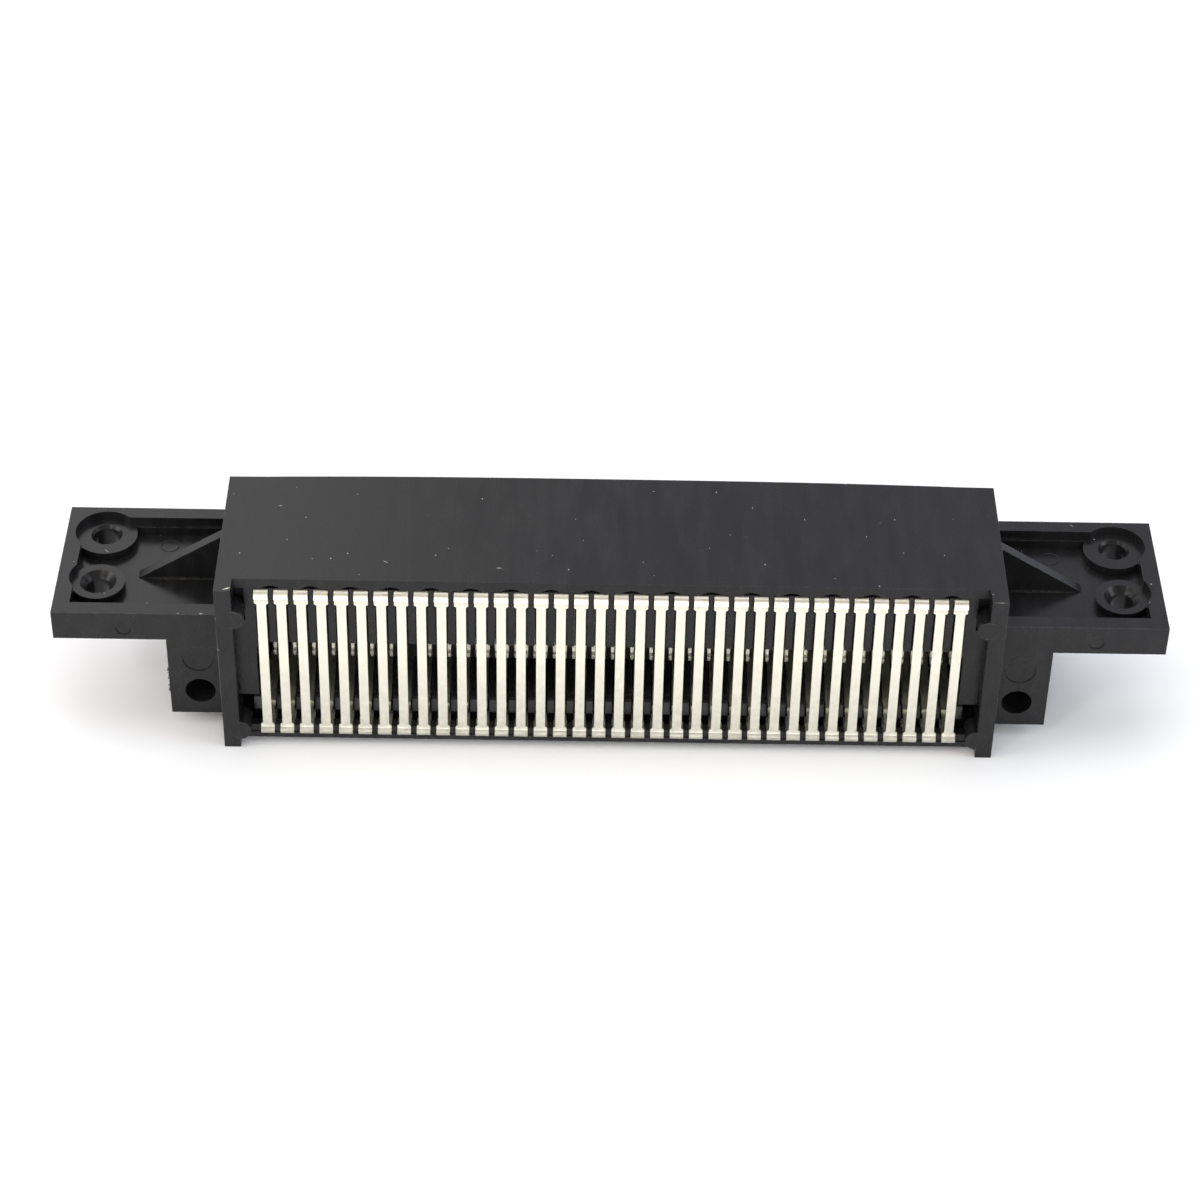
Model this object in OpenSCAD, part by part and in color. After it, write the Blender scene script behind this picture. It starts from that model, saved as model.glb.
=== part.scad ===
// Cartridge slot connector: a black moulding with two card slots, one above the other, and two
// nested rows of folded spring strips that carry each contact of the upper slot round to the lower.
// The outer row's straight backs stand in a comb on the side away from the slots.
// X runs along the contact row, Y from the strip backs towards the slot mouths, and Z up.
// The origin is the middle of the footprint, on the surface that the end plates stand on.
// Depths below are counted from the face of the end plates on the strips' side, heights from Z 0.

/* [Contact row] */
// Contacts in each of the two rows
positions = 36; // [8:2:38]
// Distance from one contact to the next
pitch = 2.5; // [2.45:0.05:3.2]
// Thickness of the strip metal
strip_t = 0.3; // [0.2:0.02:0.36]
// Bend radius at the middle of the strip metal
bend_r = 0.5; // [0.35:0.05:0.7]
// Free distance between the two facing contact bows of a slot
bow_gap = 0.8; // [0.5:0.1:1.1]
// Gap left between a strip's edges and the plastic that locates it
seat_gap = 0.05; // [0.03:0.01:0.1]
// Gap left between a strip and the wall that it lies on
lay_gap = 0.1; // [0.05:0.01:0.15]
// Bend radius of the spring arms
arm_bend_r = 1.4; // [1:0.1:1.6]
// Length of the turned-away tip past each bow
tip_l = 2.1; // [1.8:0.1:2.3]
// Distance that each tip turns away from its board
tip_h = 1.1; // [0.9:0.1:1.3]

/* [Outer contacts] */
// Width of the T head at the top of the strip
head_w = 1.78; // [1.6:0.01:1.9]
// Height of the T head
head_h = 1.8; // [1.4:0.05:2.4]
// Width of the straight back
back_w = 1.18; // [1:0.01:1.4]
// Width of the T foot
foot_w = 1.72; // [1.6:0.01:1.9]
// Height of the T foot
foot_h = 1.4; // [1:0.05:2]
// Width of the two spring arms
arm_w = 1.2; // [0.9:0.05:1.35]
// Depth of the strip's face at its head
head_y = 2.2; // [2:0.05:2.4]
// Depth of the strip's face at its foot
foot_y = 1.0; // [0.6:0.05:1.4]
// Clear height between the head and the ceiling above it
head_room = 0.45; // [0.3:0.01:0.6]
// Gap between the head's shoulders and the back of its pocket
shoulder_gap = 0.2; // [0.1:0.05:0.3]

/* [Inner contacts] */
// Width of the inner strips
inner_w = 1.86; // [1.7:0.01:1.9]
// Width of each prong where the strip divides
prong_w = 0.5; // [0.4:0.02:0.6]
// Width of each prong at the lower bend
prong_end_w = 0.33; // [0.25:0.01:0.4]
// Height from the lower bend up to the fork
fork_h = 2.6; // [2:0.1:4]
// Distance that the prongs lean forward on their way down
prong_lean = 0.5; // [0:0.1:0.8]
// Height of the prongs' lower bend above the board's slot
prong_rise = 0.6; // [0.2:0.1:0.8]
// Depth of the inner strips' face
inner_y = 10.25; // [10:0.05:11]
// Length of the inner strips' seat on top of the middle wall
inner_seat_l = 2.2; // [2:0.1:2.4]
// Distance that the fins stand proud of the inner strips' face
inner_proud = 0.25; // [0.1:0.05:0.4]
// Chamfer of the middle wall inside the inner strips' upper bend
core_chamfer = 0.2; // [0.15:0.05:0.3]
// Sideways offset of the inner row from the outer row
inner_shift = -0.15; // [-0.2:0.05:0.2]
// Contact, counted from the left, whose right prong is missing
broken_contact = 8; // [1:1:36]

/* [Body] */
// Height over the top wall
body_h = 26; // [25.6:0.1:30]
// Depth of the top wall's mouth edge
top_depth = 23.2; // [21:0.05:25]
// Overall depth of the lower body and the wings
base_depth = 26; // [25:0.1:30]
// Thickness of the end plates
end_t = 2.1; // [1.6:0.1:3]
// Distance from the last contact to the end plate
end_margin = 3.5; // [2.6:0.1:6]
// Thickness of the top wall
top_t = 1.5; // [1.1:0.1:2]
// Depth of the top wall's lip over the strips
lip_y = 2.5; // [2:0.05:2.6]
// Diameter of the ejector pads in the end plates' corners
pad_d = 2.9; // [2:0.1:3.2]
// Drop of the upper pads below the top face
upper_pad_drop = 4.7; // [3:0.1:6]
// Height of the lower pads
lower_pad_z = 2.85; // [2:0.05:4]

/* [Cartridge slot] */
// Drop from the ceiling to the middle of the cartridge board
card_drop = 3.95; // [3.6:0.05:4.8]
// Height of the slot between the fin edges
card_gap = 2.5; // [2:0.1:2.8]
// Drop from the middle of the cartridge board to the floor under the lower springs
floor_drop = 3.95; // [3.4:0.05:4.4]
// Drop of the comb's lower edge below the ceiling
comb_h = 8.8; // [7.6:0.1:9.6]
// Depth at which the board's edge meets its stop
stop_y = 8.4; // [7:0.1:9]
// Depth at which the upper slot's fins end
card_fin_y = 18.3; // [17.9:0.1:18.6]
// Depth of the bows that touch the cartridge board
card_bow_y = 15.5; // [14:0.1:15.8]
// Chamfer at the fins' ends and the mouths
lead_in = 0.8; // [0.4:0.1:1]

/* [Main board slot] */
// Height of the middle of the main board
board_z = 5.9; // [5.7:0.1:6.2]
// Height of the slot between its lips
board_gap = 2.6; // [2.2:0.1:2.8]
// Height from the middle of the main board to the middle wall
roof_rise = 3.1; // [2.8:0.1:3.6]
// Depth at which the chambers end and the lips begin
board_fin_y = 22.3; // [22.1:0.1:23]
// Depth of the bows that touch the main board
board_bow_y = 19.5; // [18:0.1:19.8]
// Height of the floor plate's underside
plate_z = 1.3; // [1.2:0.05:1.5]
// Thickness of the floor plate
plate_t = 0.8; // [0.6:0.05:0.9]
// Depth of the floor plate's edge on the strips' side
plate_y = 6; // [5:0.1:7]
// Distance that the lower fins' noses stand forward of the floor plate
nose_l = 0.8; // [0.4:0.1:1]
// Height of the noses' tips above the floor plate's underside
nose_h = 0.65; // [0.5:0.05:1]
// Drop from the top of the lower fins to the groove across their fronts
groove_drop = 0.75; // [0.5:0.05:0.9]
// Height of the groove
groove_w = 0.5; // [0.3:0.05:0.6]
// Depth of the groove
groove_d = 0.25; // [0.1:0.05:0.4]

/* [Comb] */
// Gap on each side of a straight back
fin_gap = 0.21; // [0.1:0.01:0.25]
// Gap on each side of a head
neck_gap = 0.1; // [0.05:0.01:0.15]
// Gap between a head's lower edge and the ribs' shoulders
shoulder_drop = 0.4; // [0.1:0.05:0.6]
// Extra width of the two end fins
end_fin_w = 0.45; // [0.2:0.05:0.7]
// Height of the hollow beside each end fin, under the top wall
end_hollow_h = 5.2; // [3:0.1:7]
// Depth of the fins' faces behind the lip
rib_setback = 0; // [0:0.05:0.2]
// Depth of the pockets that take the T heads
pocket_depth = 1.2; // [1.1:0.05:1.8]
// Radius of the arched relief over every second rib
arch_r = 1.75; // [1.5:0.05:2]
// Rise of the arch above the ceiling
arch_rise = 0.45; // [0.2:0.05:0.5]
// Height of the foot rail's underside
rail_z = 0.9; // [0.7:0.05:1.1]
// Height of the solid part of the foot rail
rail_base_h = 0.85; // [0.6:0.05:0.9]
// Height of the teeth between the feet
tooth_h = 1.15; // [0.9:0.05:1.6]
// Depth of the teeth's backs
tooth_back_y = 2.4; // [2.2:0.1:2.9]
// Distance that the teeth's faces sit behind the rail's
tooth_setback = 0.15; // [0:0.05:0.3]
// Depth of the foot rail's back
rail_y = 3; // [2.6:0.1:3.6]

/* [Wings] */
// Length of each wing from the body to its tip
wing_l = 21.4; // [20:0.1:30]
// Depth of the wings' face on the strips' side
wing_y = 4.5; // [3.5:0.1:5]
// Height of the wings' underside
wing_z = 14.1; // [10:0.1:15]
// Thickness of the wings
wing_t = 4.25; // [3.5:0.05:5]
// Depth of the pocket in the top of each wing
pocket_h = 2.25; // [1.5:0.05:2.5]
// Rim left at the tip
rim_tip = 2.15; // [1.5:0.05:2.4]
// Rim left along the strips' side
rim_front = 2.1; // [1:0.05:2.4]
// Rim left along the mouth side
rim_back = 2; // [1:0.05:2.5]
// Width of the step along the rim on the mouth side
step_w = 0.65; // [0.3:0.05:1]
// Drop of the bosses and the step below the rim
boss_drop = 1.1; // [0.6:0.05:1.3]

/* [Wing holes] */
// Distance of the screw hole from the tip
screw_x = 5.05; // [4.8:0.05:8]
// Distance of the screw hole from the mouth side
screw_back = 4.3; // [4:0.05:6]
// Diameter of the screw hole
screw_d = 3.4; // [3:0.1:4]
// Diameter of the screw hole's mouth
screw_mouth_d = 4.1; // [3.6:0.1:5]
// Diameter of the screw boss
screw_boss_d = 7.95; // [7:0.05:8.5]
// Diameter of the relief in the rim round the screw boss
screw_relief_d = 7.85; // [7.4:0.05:8.3]
// Distance that the relief sits back from the mouth side, next to its boss
relief_offset = 0.5; // [0.3:0.05:0.8]
// Distance from the screw hole to the locating hole
hole_spacing = 9.6; // [9:0.05:11]
// Diameter of the locating hole
pin_d = 3.0; // [2.5:0.1:3.5]
// Diameter of the locating hole's countersink
pin_sink_d = 4.7; // [4:0.1:5.5]
// Depth of the countersink
pin_sink_h = 0.85; // [0.5:0.05:1]
// Diameter of the locating boss
pin_boss_d = 6.9; // [6:0.05:7.2]
// Gap between the locating boss and the relief round it
pin_relief = 0.15; // [0.05:0.05:0.3]

/* [Gussets and blocks] */
// Depth of the gussets' face
gusset_y = 14.3; // [10:0.1:16]
// Thickness of the gussets
gusset_t = 1.5; // [1.2:0.1:3]
// Length of the gussets along the wing
gusset_l = 11.5; // [8:0.1:13]
// Height of the gussets above the pocket floor
gusset_h = 7.3; // [4:0.1:8]
// Width of the blocks under the wings
block_w = 7.1; // [6:0.1:9]
// Height of the blocks' underside
block_z = 1.8; // [0.5:0.1:3]
// Distance of the blocks' sockets from the body
socket_x = 3.2; // [3:0.05:4]
// Height of the sockets
socket_z = 5.6; // [5:0.1:8]
// Diameter of the sockets
socket_d = 3.9; // [3:0.1:4.2]
// Depth of the sockets
socket_h = 10; // [4:0.5:16]
// Diameter of the round mould mark above each socket
mark_d = 4; // [3:0.1:4.4]
// Distance from the socket up to the mark
mark_rise = 5.3; // [4.4:0.1:6]
// Diameter of the mould mark on the wing's face
wing_mark_d = 2; // [1.5:0.1:2.5]
// Distance of the wing's mark from the body
wing_mark_x = 12.4; // [9:0.1:16]
// Height of the wing's mark above the underside
wing_mark_z = 1.7; // [1.3:0.1:2.9]
// Depth of the mould marks
mark_h = 0.12; // [0.05:0.01:0.2]

/* [Hidden] */
$fn = 48;
lap = 0.1;
arc_steps = 3;
row_half = positions * pitch / 2;
inner_half = row_half - pitch / 2 + end_margin;
body_half = inner_half + end_t;
ceiling = body_h - top_t;
head_top = ceiling - head_room;
comb_z = ceiling - comb_h;
card_z = ceiling - card_drop;
floor_z = card_z - floor_drop;
roof_z = board_z + roof_rise;
card_top = card_z + card_gap / 2;
card_low = card_z - card_gap / 2;
board_top = board_z + board_gap / 2;
board_low = board_z - board_gap / 2;
foot_bottom = rail_z + rail_base_h + seat_gap;
rib_y = lip_y + rib_setback;
pocket_y = rib_y + pocket_depth;
rib_step_z = head_top - head_h - shoulder_drop;
fin_w = pitch - back_w - 2 * fin_gap;
neck_w = pitch - head_w - 2 * neck_gap;
tooth_w = pitch - foot_w - 2 * seat_gap;
end_fin_x = row_half + fin_w / 2 + end_fin_w;
inner_fin_w = pitch - inner_w - 2 * seat_gap;
core_y = inner_y + strip_t + lay_gap;
inner_fin_y = inner_y - inner_proud;
fork_z = board_top + fork_h;
groove_z = board_low - groove_drop;
wing_top = wing_z + wing_t;
pocket_z = wing_top - pocket_h;
boss_z = wing_top - boss_drop;
wing_tip = body_half + wing_l;
bow = bow_gap / 2 + strip_t / 2;

// The outer strip's fold in [depth, height, bend radius], from its upper end to its lower end
outer_fold = [
    [card_bow_y + tip_l, card_z + bow + tip_h, 0],
    [card_bow_y, card_z + bow, arm_bend_r],
    [stop_y, head_top - strip_t / 2, arm_bend_r],
    [head_y + strip_t / 2, head_top - strip_t / 2, bend_r],
    [foot_y + strip_t / 2, foot_bottom + strip_t / 2, bend_r],
    [plate_y, plate_z + plate_t + lay_gap + strip_t, arm_bend_r],
    [board_bow_y, board_z - bow, arm_bend_r],
    [board_bow_y + tip_l, board_z - bow - tip_h, 0]
];

// The inner strip's fold, in the same form
inner_fold = [
    [card_bow_y + tip_l, card_z - bow - tip_h, 0],
    [card_bow_y, card_z - bow, arm_bend_r],
    [inner_y + inner_seat_l, floor_z + lay_gap + strip_t / 2, arm_bend_r],
    [inner_y + strip_t / 2, floor_z + lay_gap + strip_t / 2, bend_r],
    [inner_y + strip_t / 2, fork_z, bend_r],
    [inner_y + strip_t / 2 - prong_lean, board_top + prong_rise, bend_r],
    [board_bow_y, board_z + bow, arm_bend_r],
    [board_bow_y + tip_l, board_z + bow + tip_h, 0]
];

function two_digits(n) = n < 10 ? str("0", n) : str(n);
function outer_name(n) = str("outer_contact_", two_digits(n));
function inner_name(n) = str("inner_contacts_", two_digits(n), "_", two_digits(n + 1));

// Middle of contact n, and middle of the gap after contact k, counted from the left
function contact_x(n) = (n - 0.5) * pitch - row_half;
function gap_x(k) = k * pitch - row_half;

function unit(v) = v / norm(v);
function point(corner) = [corner[0], corner[1]];
function turned(v, angle) = [v[0] * cos(angle) - v[1] * sin(angle), v[0] * sin(angle) + v[1] * cos(angle)];

// Points on the arc that rounds corner b between its neighbours a and c
function corner_arc(a, b, c, r) =
    let (to_a = unit(a - b), to_c = unit(c - b), half = acos(to_a * to_c) / 2)
    let (centre = b + unit(to_a + to_c) * r / sin(half))
    let (first = b + to_a * r / tan(half) - centre, last = b + to_c * r / tan(half) - centre)
    let (way = sign(first[0] * last[1] - first[1] * last[0]))
    [for (i = [0:arc_steps]) centre + turned(first, way * (180 - 2 * half) * i / arc_steps)];

// Middle line of a fold, with its inner corners rounded
function fold_line(fold) = [
    for (i = [0:len(fold) - 1])
        each (i == 0 || i == len(fold) - 1)
            ? [point(fold[i])]
            : corner_arc(point(fold[i - 1]), point(fold[i]), point(fold[i + 1]), fold[i][2])
];

// Sideways step from point i of a line to the metal's surface, mitred at a corner
function surface_step(line, i) =
    let (before = unit(line[max(i, 1)] - line[max(i, 1) - 1]))
    let (after = unit(line[min(i, len(line) - 2) + 1] - line[min(i, len(line) - 2)]))
    let (middle = unit(before + after))
    turned(middle, 90) * strip_t / 2 / (middle * after);

function strip_outline(line) = concat(
    [for (i = [0:len(line) - 1]) line[i] + surface_step(line, i)],
    [for (i = [len(line) - 1:-1:0]) line[i] - surface_step(line, i)]
);

// A profile in depth and height, drawn out along the row from x0 to x1
module row_profile(x0, x1, points) {
    translate([x0, 0, 0])
        rotate([90, 0, 90])
            linear_extrude(height = x1 - x0)
                polygon(points);
}

// A profile in width and height, drawn out in depth from y0 to y1
module face_profile(y0, y1, points) {
    translate([0, y1, 0])
        rotate([90, 0, 0])
            linear_extrude(height = y1 - y0)
                polygon(points);
}

module box_between(low, high) {
    translate(low)
        cube(high - low);
}

module both_ends() {
    for (end = [0, 1])
        mirror([end, 0, 0])
            children();
}

// Fin of one profile at the gap after contact k, made wider outwards at the row's two ends
module fin(k, width, points) {
    row_profile(
        k == 0 ? -end_fin_x : gap_x(k) - width / 2,
        k == positions ? end_fin_x : gap_x(k) + width / 2,
        points
    );
}

module fin_row(width, points) {
    for (k = [0:positions])
        fin(k, width, points);
}

module top_wall() {
    difference() {
        row_profile(-inner_half - lap, inner_half + lap, [
            [lip_y, ceiling],
            [top_depth - lead_in / 2, ceiling],
            [top_depth, ceiling + lead_in / 2],
            [top_depth, body_h],
            [lip_y, body_h]
        ]);
        for (k = [1:2:positions - 1])
            translate([gap_x(k), lip_y - lap, ceiling + arch_rise - arch_r])
                rotate([-90, 0, 0])
                    cylinder(r = arch_r, h = pocket_y - lip_y + lap);
    }
}

module end_plate() {
    row_profile(inner_half, body_half, [
        [0, 0],
        [base_depth, 0],
        [base_depth, wing_top],
        [top_depth, wing_top],
        [top_depth, body_h],
        [0, body_h]
    ]);
    for (z = [lower_pad_z, body_h - upper_pad_drop])
        translate([inner_half, 0, z])
            rotate([-90, 0, 0])
                cylinder(d = pad_d, h = rail_y);
}

// Upper comb: the ribs between the strips' backs, their necks between the heads, which reach the
// top wall or end free under its arches, and the fins over the cartridge slot
module upper_comb() {
    fin_row(fin_w, [
        [rib_y, comb_z],
        [stop_y, comb_z],
        [stop_y, card_top],
        [card_fin_y - lead_in, card_top],
        [card_fin_y, card_top + lead_in],
        [card_fin_y, ceiling + lap],
        [pocket_y, ceiling + lap],
        [pocket_y, rib_step_z],
        [rib_y, rib_step_z]
    ]);
    for (k = [0:positions])
        fin(k, neck_w, [
            [rib_y, rib_step_z - lap],
            [pocket_y + lap, rib_step_z - lap],
            [pocket_y + lap, ceiling + (k % 2 == 0 ? lap : 0)],
            [rib_y, ceiling + (k % 2 == 0 ? lap : 0)]
        ]);
}

// Walls between the last fins and the end plate, which close the ends of the spring bay
module row_end() {
    row_profile(end_fin_x - lap, inner_half + lap, [
        [rib_y, comb_z],
        [stop_y, comb_z],
        [stop_y, ceiling + lap],
        [pocket_y, ceiling + lap],
        [pocket_y, ceiling - end_hollow_h],
        [rib_y, ceiling - end_hollow_h]
    ]);
    box_between([row_half - neck_w / 2, rib_y, roof_z], [inner_half + lap, stop_y, comb_z + lap]);
    box_between([end_fin_x, stop_y - lap, roof_z], [inner_half + lap, core_y + lap, floor_z]);
}

// Middle wall between the two slots, with the chambers that the inner strips lie in
module middle_wall() {
    row_profile(-inner_half - lap, inner_half + lap, [
        [core_y, roof_z],
        [base_depth, roof_z],
        [base_depth, floor_z],
        [core_y + core_chamfer, floor_z],
        [core_y, floor_z - core_chamfer]
    ]);
    translate([inner_shift, 0, 0])
        fin_row(inner_fin_w, [
            [inner_fin_y, board_top],
            [board_fin_y + lap, board_top],
            [board_fin_y + lap, roof_z + lap],
            [core_y + lap, roof_z + lap],
            [core_y + lap, floor_z - core_chamfer - lap],
            [core_y + core_chamfer + lap, floor_z - lap],
            [card_fin_y, floor_z - lap],
            [card_fin_y, card_low - lead_in],
            [card_fin_y - lead_in, card_low],
            [inner_fin_y, card_low]
        ]);
    row_profile(-inner_half - lap, inner_half + lap, [
        [board_fin_y, board_top],
        [base_depth - lead_in, board_top],
        [base_depth, board_top + lead_in],
        [base_depth, roof_z + lap],
        [board_fin_y, roof_z + lap]
    ]);
}

// Lower comb: the floor plate, its grooved and sloping fins, and the webs that carry the foot rail
module lower_comb() {
    box_between([-inner_half - lap, plate_y, plate_z], [inner_half + lap, base_depth, plate_z + plate_t]);
    fin_row(fin_w, [
        [rail_y - lap, rail_z],
        [plate_y + lap, rail_z],
        [plate_y + lap, plate_z + lap],
        [board_fin_y + lap, plate_z + lap],
        [board_fin_y + lap, board_low],
        [plate_y, board_low],
        [plate_y, groove_z],
        [plate_y + groove_d, groove_z - groove_w / 2],
        [plate_y, groove_z - groove_w],
        [plate_y - nose_l, plate_z + nose_h],
        [plate_y - nose_l, plate_z],
        [rail_y - lap, plate_z]
    ]);
    row_profile(-inner_half - lap, inner_half + lap, [
        [board_fin_y, plate_z + lap],
        [base_depth, plate_z + lap],
        [base_depth, board_low - lead_in],
        [base_depth - lead_in, board_low],
        [board_fin_y, board_low]
    ]);
}

// Foot rail: the bar under the strips' feet, with a tooth in each gap
module foot_rail() {
    box_between([-inner_half - lap, foot_y, rail_z], [inner_half + lap, rail_y, rail_z + rail_base_h]);
    fin_row(tooth_w, [
        [foot_y + tooth_setback, rail_z + rail_base_h - lap],
        [tooth_back_y, rail_z + rail_base_h - lap],
        [tooth_back_y, rail_z + rail_base_h + tooth_h],
        [foot_y + tooth_setback, rail_z + rail_base_h + tooth_h]
    ]);
}

module upright_cylinder(x, y, z0, z1, d) {
    translate([x, y, z0])
        cylinder(d = d, h = z1 - z0);
}

// Cone that widens a hole of diameter d to mouth_d at the face of its boss, carried on by lap
module hole_mouth(x, y, d, mouth_d, depth) {
    translate([x, y, boss_z - depth])
        cylinder(d1 = d, d2 = mouth_d + (mouth_d - d) * lap / depth, h = depth + lap);
}

module wing() {
    screw_hole_x = wing_tip - screw_x;
    screw_y = base_depth - screw_back;
    pin_y = screw_y - hole_spacing;
    difference() {
        union() {
            difference() {
                box_between([body_half - lap, wing_y, wing_z], [wing_tip, base_depth, wing_top]);
                box_between(
                    [body_half, wing_y + rim_front, pocket_z],
                    [wing_tip - rim_tip, base_depth - rim_back - step_w, wing_top + lap]
                );
                box_between(
                    [body_half, wing_y + rim_front, boss_z],
                    [wing_tip - rim_tip, base_depth - rim_back, wing_top + lap]
                );
                upright_cylinder(
                    screw_hole_x, screw_y - relief_offset, boss_z, wing_top + lap, screw_relief_d
                );
                upright_cylinder(
                    screw_hole_x, pin_y - pin_relief, boss_z, wing_top + lap, pin_boss_d + 2 * pin_relief
                );
            }
            intersection() {
                box_between([body_half, wing_y, wing_z], [wing_tip, base_depth - rim_back / 2, boss_z]);
                union() {
                    upright_cylinder(screw_hole_x, screw_y, wing_z, wing_top, screw_boss_d);
                    upright_cylinder(screw_hole_x, pin_y, wing_z, wing_top, pin_boss_d);
                }
            }
            face_profile(gusset_y, gusset_y + gusset_t, [
                [body_half - lap, pocket_z - lap],
                [body_half + gusset_l, pocket_z - lap],
                [body_half + gusset_l, pocket_z],
                [body_half, pocket_z + gusset_h],
                [body_half - lap, pocket_z + gusset_h]
            ]);
        }
        upright_cylinder(screw_hole_x, screw_y, wing_z - lap, wing_top, screw_d);
        upright_cylinder(screw_hole_x, pin_y, wing_z - lap, wing_top, pin_d);
        hole_mouth(screw_hole_x, screw_y, screw_d, screw_mouth_d, (screw_mouth_d - screw_d) / 2);
        hole_mouth(screw_hole_x, pin_y, pin_d, pin_sink_d, pin_sink_h);
        translate([body_half + wing_mark_x, wing_y - lap, wing_z + wing_mark_z])
            rotate([-90, 0, 0])
                cylinder(d = wing_mark_d, h = mark_h + lap);
    }
}

module block() {
    difference() {
        box_between([body_half - lap, wing_y, block_z], [body_half + block_w, base_depth, wing_z + lap]);
        translate([body_half + socket_x, wing_y - lap, socket_z])
            rotate([-90, 0, 0])
                cylinder(d = socket_d, h = socket_h + lap);
        translate([body_half + socket_x, wing_y - lap, socket_z + mark_rise])
            rotate([-90, 0, 0])
                cylinder(d = mark_d, h = mark_h + lap);
    }
}

module housing() {
    color([0.1, 0.1, 0.105])
        translate([0, -base_depth / 2, 0]) {
            top_wall();
            upper_comb();
            middle_wall();
            lower_comb();
            foot_rail();
            both_ends() {
                row_end();
                end_plate();
                wing();
                block();
            }
        }
}

// Cuts a strip back to width w on both sides, between two depths and two heights
module trim_sides(w, y0, y1, z0, z1) {
    both_ends()
        box_between([w / 2, y0, z0], [pitch, y1, z1]);
}

module outer_contact(n) {
    color([0.86, 0.84, 0.78])
        translate([contact_x(n), -base_depth / 2, 0])
            difference() {
                row_profile(-head_w / 2, head_w / 2, strip_outline(fold_line(outer_fold)));
                trim_sides(arm_w, pocket_y - shoulder_gap, base_depth, 0, body_h);
                trim_sides(back_w, -lap, pocket_y, foot_bottom + foot_h, head_top - head_h);
                trim_sides(foot_w, -lap, pocket_y, 0, foot_bottom + foot_h);
            }
}

// The side edges of the two prongs: each runs from the fork to the lower bend
module prong_cuts() {
    middle = (inner_w - prong_w) / 2;
    edge = prong_w / 2;
    end_edge = prong_end_w / 2;
    drop = board_top - board_low;
    face_profile(0, base_depth, [
        [-(middle - edge), fork_z],
        [-(middle - end_edge), board_top],
        [-(middle - end_edge), board_top - drop],
        [middle - end_edge, board_top - drop],
        [middle - end_edge, board_top],
        [middle - edge, fork_z]
    ]);
    both_ends()
        face_profile(0, base_depth, [
            [middle + edge, fork_z],
            [middle + end_edge, board_top],
            [middle + end_edge, board_top - drop],
            [pitch, board_top - drop],
            [pitch, fork_z]
        ]);
}

module inner_contact(n) {
    translate([contact_x(n) + inner_shift, -base_depth / 2, 0])
        difference() {
            row_profile(-inner_w / 2, inner_w / 2, strip_outline(fold_line(inner_fold)));
            trim_sides(arm_w, core_y + strip_t, base_depth, roof_z, body_h);
            prong_cuts();
            if (n == broken_contact)
                box_between([0, 0, 0], [pitch, base_depth, fork_z]);
        }
}

module inner_contacts(n) {
    color([0.82, 0.8, 0.74])
        for (m = [n, n + 1])
            inner_contact(m);
}

housing();
for (n = [1:positions])
    outer_contact(n);
for (n = [1:2:positions])
    inner_contacts(n);
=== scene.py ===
"""Looks of the cartridge slot connector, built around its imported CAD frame.

The black moulding is the frame's own shape with its arrises broken, and the two rows of folded spring
strips are bent afresh from flat blanks, so that their bends are smooth. All lengths are in metres, in the
frame of the CAD model: X along the contact row, Y from the strips' backs to the slot mouths, Z up.
"""

import logging
import math
import random
from dataclasses import dataclass
from enum import Enum

import bmesh
import bpy
from mathutils import Matrix, Vector

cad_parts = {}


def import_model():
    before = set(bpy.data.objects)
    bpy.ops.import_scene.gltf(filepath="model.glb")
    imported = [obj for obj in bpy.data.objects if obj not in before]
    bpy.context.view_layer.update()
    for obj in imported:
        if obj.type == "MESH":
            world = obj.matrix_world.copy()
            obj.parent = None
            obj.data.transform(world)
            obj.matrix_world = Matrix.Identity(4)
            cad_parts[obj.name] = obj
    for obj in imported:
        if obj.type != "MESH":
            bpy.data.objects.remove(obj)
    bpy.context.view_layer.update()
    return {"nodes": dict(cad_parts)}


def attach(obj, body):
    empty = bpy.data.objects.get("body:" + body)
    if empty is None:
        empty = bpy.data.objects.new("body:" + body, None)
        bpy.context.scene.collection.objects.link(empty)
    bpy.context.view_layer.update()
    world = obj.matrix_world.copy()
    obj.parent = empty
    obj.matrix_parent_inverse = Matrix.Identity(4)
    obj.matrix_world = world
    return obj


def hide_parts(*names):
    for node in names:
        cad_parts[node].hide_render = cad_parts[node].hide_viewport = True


MM = 0.001
ROOT_BODY = "root"
LOG = logging.getLogger("cartridge_slot_connector")
# Places of a colour Mix node's two colours among its inputs, and of its colour among its outputs
MIX_COLOURS = (6, 7)
MIX_RESULT = 2
# Face attribute that marks the moulding's broken arrises
ARRIS = "arris"
# Slack of a comparison of two lengths
TINY = 1e-9

Triple = tuple[float, float, float]
Colour = tuple[float, float, float, float]
Edges = tuple[float, float, float, float]
# Two values of a pattern, and the two that they become
Spread = tuple[float, float, float, float]
# A Geometry Nodes tree, and the identifier of each of its named inputs
Group = tuple[bpy.types.GeometryNodeTree, dict[str, str]]


class Slot(Enum):
    """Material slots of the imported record."""

    PLASTIC = "housing_plastic"
    OUTER_STRIP = "outer_strip"
    INNER_STRIP = "inner_strip"


class Level(Enum):
    """Which of the two nested rows of strips a row is."""

    OUTER = "outer_contact"
    INNER = "inner_contacts"


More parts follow.
